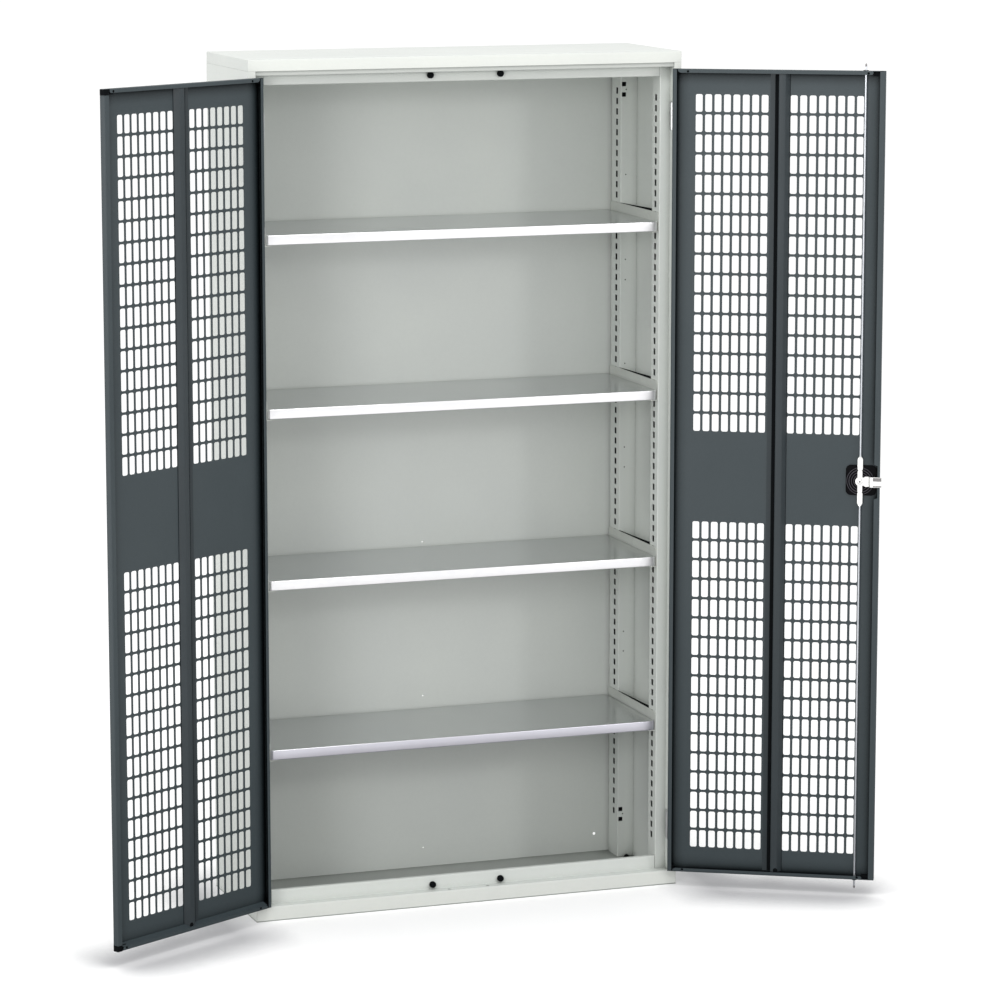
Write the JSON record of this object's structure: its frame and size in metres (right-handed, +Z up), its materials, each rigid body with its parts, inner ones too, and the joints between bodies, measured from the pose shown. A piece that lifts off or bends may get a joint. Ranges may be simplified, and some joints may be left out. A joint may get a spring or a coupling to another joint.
{
  "type": "ventilated storage cabinet",
  "caption": "Tall sheet-steel storage cabinet with slotted double doors standing open, rod lock on the right door and hooked shelves inside.",
  "frame": {"origin": "centre of the base, on the underside of the floor panel", "axes": "+Z up, +X to the cabinet's right as seen from the front, +Y from the doors to the back panel; rest pose is the pictured one, doors 150 degrees open and lock thrown"},
  "size_m": [1.8636, 0.6253, 2],
  "materials": {
    "grey_powder_coat": "light grey powder coat, fine satin texture",
    "anthracite_powder_coat": "anthracite grey powder coat, fine satin texture",
    "shelf_zinc": "galvanised sheet with a faint rolled grain",
    "bracket_zinc": "galvanised sheet",
    "hinge_steel": "bright zinc plate",
    "lock_zinc": "bright zinc plate",
    "barrel_chrome": "polished",
    "black_plastic": "matte moulded",
    "black_rubber": "matte"
  },
  "bodies": {
    "carcass": {"floor_panel": "grey_powder_coat", "back_panel": "grey_powder_coat", "roof_cap": "grey_powder_coat", "header_rail": "grey_powder_coat", "plinth_rail": "grey_powder_coat", "side_panel_left": "grey_powder_coat", "side_panel_right": "grey_powder_coat", "front_post_left": "grey_powder_coat", "front_post_right": "grey_powder_coat", "rear_post_left": "grey_powder_coat", "rear_post_right": "grey_powder_coat", "shelf_1": "shelf_zinc", "shelf_2": "shelf_zinc", "shelf_3": "shelf_zinc", "shelf_4": "shelf_zinc", "shelf_bracket_1_left": "bracket_zinc", "shelf_bracket_1_right": "bracket_zinc", "shelf_bracket_2_left": "bracket_zinc", "shelf_bracket_2_right": "bracket_zinc", "shelf_bracket_3_left": "bracket_zinc", "shelf_bracket_3_right": "bracket_zinc", "shelf_bracket_4_left": "bracket_zinc", "shelf_bracket_4_right": "bracket_zinc", "bumper_top_left": "black_rubber", "bumper_top_right": "black_rubber", "bumper_bottom_left": "black_rubber", "bumper_bottom_right": "black_rubber", "floor_cap_left": "black_plastic", "floor_cap_right": "black_plastic", "hinge_body_leaf_left_lower": "hinge_steel", "hinge_body_leaf_left_upper": "hinge_steel", "hinge_body_leaf_right_lower": "hinge_steel", "hinge_body_leaf_right_upper": "hinge_steel", "hinge_pin_left_lower": "hinge_steel", "hinge_pin_left_upper": "hinge_steel", "hinge_pin_right_lower": "hinge_steel", "hinge_pin_right_upper": "hinge_steel"},
    "door_left": {"door_panel_left": "anthracite_powder_coat", "door_stiffener_left": "anthracite_powder_coat", "hinge_door_leaf_left_lower": "hinge_steel", "hinge_door_leaf_left_upper": "hinge_steel"},
    "door_right": {"door_panel_right": "anthracite_powder_coat", "door_stiffener_right": "anthracite_powder_coat", "hinge_door_leaf_right_lower": "hinge_steel", "hinge_door_leaf_right_upper": "hinge_steel", "lock_housing": "black_plastic", "lock_escutcheon": "black_plastic", "rod_guide_upper": "black_plastic", "rod_guide_lower": "black_plastic"},
    "lock_turn": {"lock_handle": "black_plastic", "lock_spindle": "lock_zinc", "lock_cam": "lock_zinc", "lock_nut": "lock_zinc"},
    "key_barrel": {"lock_barrel": "barrel_chrome"},
    "rod_upper": {"lock_rod_upper": "lock_zinc"},
    "rod_lower": {"lock_rod_lower": "lock_zinc"}
  },
  "joints": [
    {"name": "door_left_hinge", "type": "hinge", "parent": "carcass", "child": "door_left", "pos_m": [-0.501, -0.1765, 1], "axis": [0, 0, -1], "range_deg": [-150, 20]},
    {"name": "door_right_hinge", "type": "hinge", "parent": "carcass", "child": "door_right", "pos_m": [0.501, -0.1765, 1], "axis": [0, 0, 1], "range_deg": [-150, 20]},
    {"name": "lock_turn_hinge", "type": "hinge", "parent": "door_right", "child": "lock_turn", "pos_m": [0.89156, -0.40603, 1], "axis": [-0.5, -0.866, 0], "range_deg": [0, 90]},
    {"name": "key_barrel_hinge", "type": "hinge", "parent": "lock_turn", "child": "key_barrel", "pos_m": [0.89156, -0.40603, 1], "axis": [-0.5, -0.866, 0], "range_deg": [0, 90]},
    {"name": "rod_upper_slide", "type": "slide", "parent": "door_right", "child": "rod_upper", "axis": [0, 0, 1], "range_m": [-0.021, 0]},
    {"name": "rod_lower_slide", "type": "slide", "parent": "door_right", "child": "rod_lower", "axis": [0, 0, 1], "range_m": [0, 0.021]}
  ],
  "couplings": [
    {"joint": "rod_upper_slide", "follows": "lock_turn_hinge", "m_per_rad": -0.013369},
    {"joint": "rod_lower_slide", "follows": "lock_turn_hinge", "m_per_rad": 0.013369}
  ]
}
